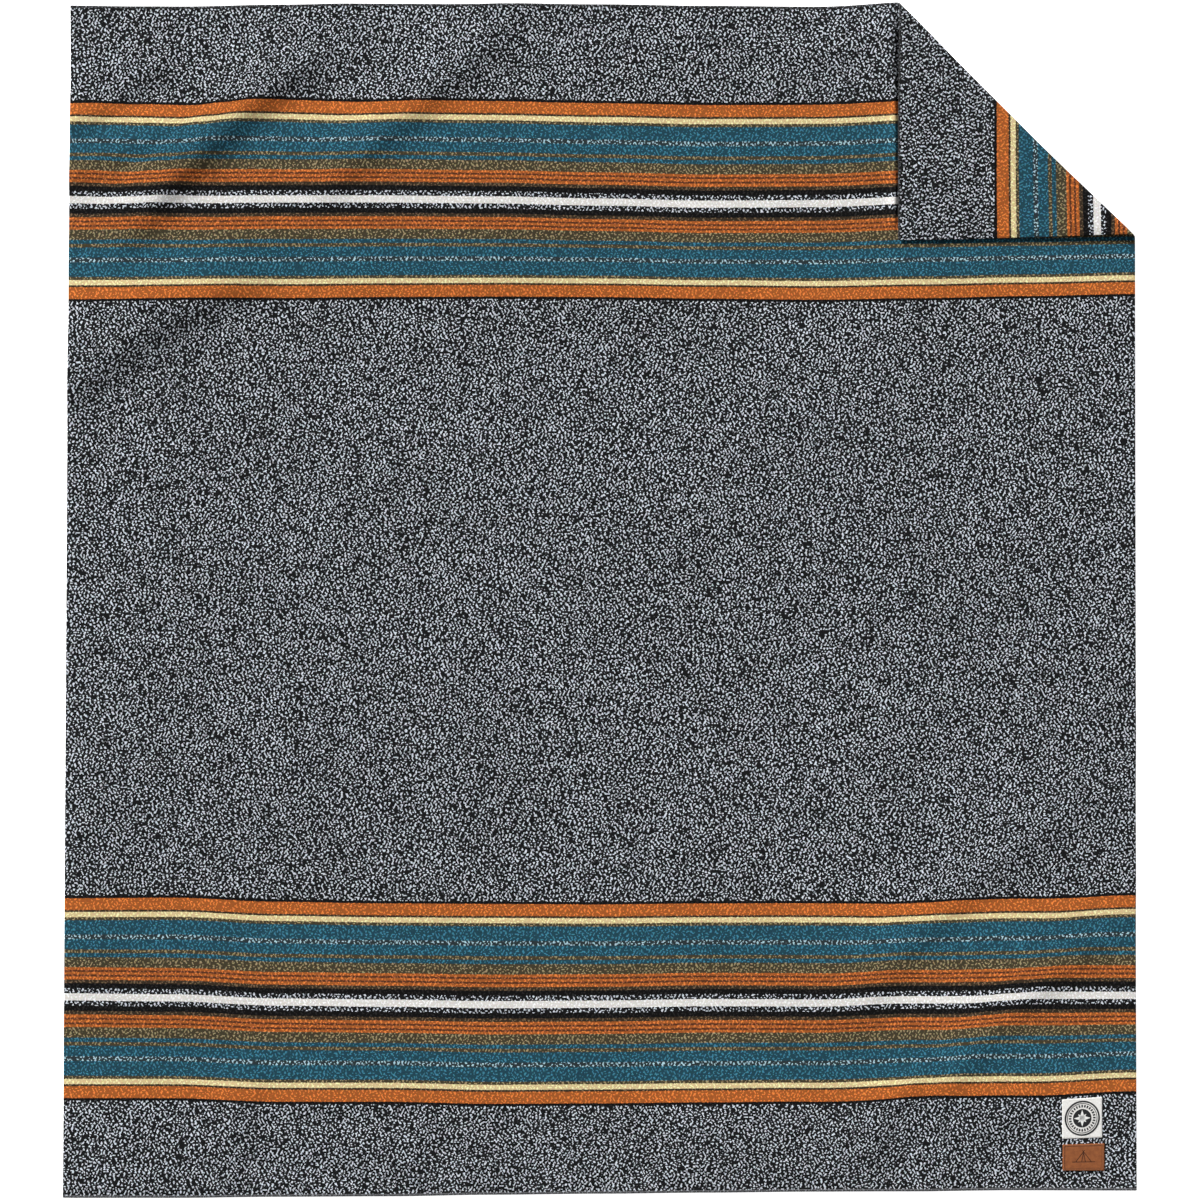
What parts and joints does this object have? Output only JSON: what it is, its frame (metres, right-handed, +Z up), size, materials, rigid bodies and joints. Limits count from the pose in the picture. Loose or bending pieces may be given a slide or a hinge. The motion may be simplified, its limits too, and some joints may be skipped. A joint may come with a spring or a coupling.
{
  "type": "camp blanket",
  "caption": "Woven wool blanket lying flat, striped bands near both ends, a head corner turned back, sewn label and leather patch in the foot margin.",
  "frame": {"origin": "on the floor, under the centre of the flat blanket", "axes": "+Z up, +Y towards the head end, +X towards the right selvedge"},
  "size_m": [2.045, 2.275, 0.009],
  "materials": {
    "heather_wool": "charcoal and pale grey heathered wool twill with a brushed nap",
    "black_wool": "black wool weft over charcoal warp",
    "orange_wool": "burnt orange wool weft, brushed",
    "brown_wool": "dark brown wool weft",
    "cream_wool": "cream wool weft",
    "olive_wool": "dark olive wool weft",
    "teal_wool": "deep teal wool weft",
    "rust_wool": "rust brown wool weft",
    "white_wool": "undyed white wool weft",
    "edge_thread": "charcoal overlock thread",
    "label_weave": "white damask label with a woven mark",
    "label_thread": "pale polyester sewing thread",
    "patch_leather": "tan vegetable-tanned leather, debossed",
    "patch_thread": "brown sewing thread"
  },
  "bodies": {
    "middle": {"middle_field": "heather_wool"},
    "head": {"head_field": "heather_wool", "head_edge_stitch": "edge_thread", "head_black_weft": "black_wool", "head_orange_weft": "orange_wool", "head_brown_weft": "brown_wool", "head_cream_weft": "cream_wool", "head_olive_weft": "olive_wool", "head_teal_weft": "teal_wool", "head_grey_weft": "heather_wool", "head_rust_weft": "rust_wool", "head_white_weft": "white_wool", "corner_roll": "heather_wool"},
    "corner": {"corner_field": "heather_wool", "corner_edge_stitch": "edge_thread", "corner_black_weft": "black_wool", "corner_orange_weft": "orange_wool", "corner_brown_weft": "brown_wool", "corner_cream_weft": "cream_wool", "corner_olive_weft": "olive_wool", "corner_teal_weft": "teal_wool", "corner_grey_weft": "heather_wool", "corner_rust_weft": "rust_wool", "corner_white_weft": "white_wool"},
    "foot": {"foot_field": "heather_wool", "foot_edge_stitch": "edge_thread", "foot_black_weft": "black_wool", "foot_orange_weft": "orange_wool", "foot_brown_weft": "brown_wool", "foot_cream_weft": "cream_wool", "foot_olive_weft": "olive_wool", "foot_teal_weft": "teal_wool", "foot_grey_weft": "heather_wool", "foot_rust_weft": "rust_wool", "foot_white_weft": "white_wool", "woven_label": "label_weave", "label_stitching": "label_thread", "leather_patch": "patch_leather", "patch_stitching": "patch_thread"}
  },
  "joints": [
    {"name": "foot_fold", "type": "hinge", "parent": "middle", "child": "foot", "pos_m": [0, -0.37917, 0.006], "axis": [-1, 0, 0], "range_deg": [0, 179.9]},
    {"name": "head_fold", "type": "hinge", "parent": "middle", "child": "head", "pos_m": [0, 0.37917, 0.014], "axis": [1, 0, 0], "range_deg": [0, 179.9]},
    {"name": "corner_turn", "type": "hinge", "parent": "head", "child": "corner", "pos_m": [0.79565, 0.91065, 0.0045], "axis": [-0.7071, 0.7071, 0], "range_deg": [0, 179.9], "deforming": ["corner_roll"]}
  ]
}
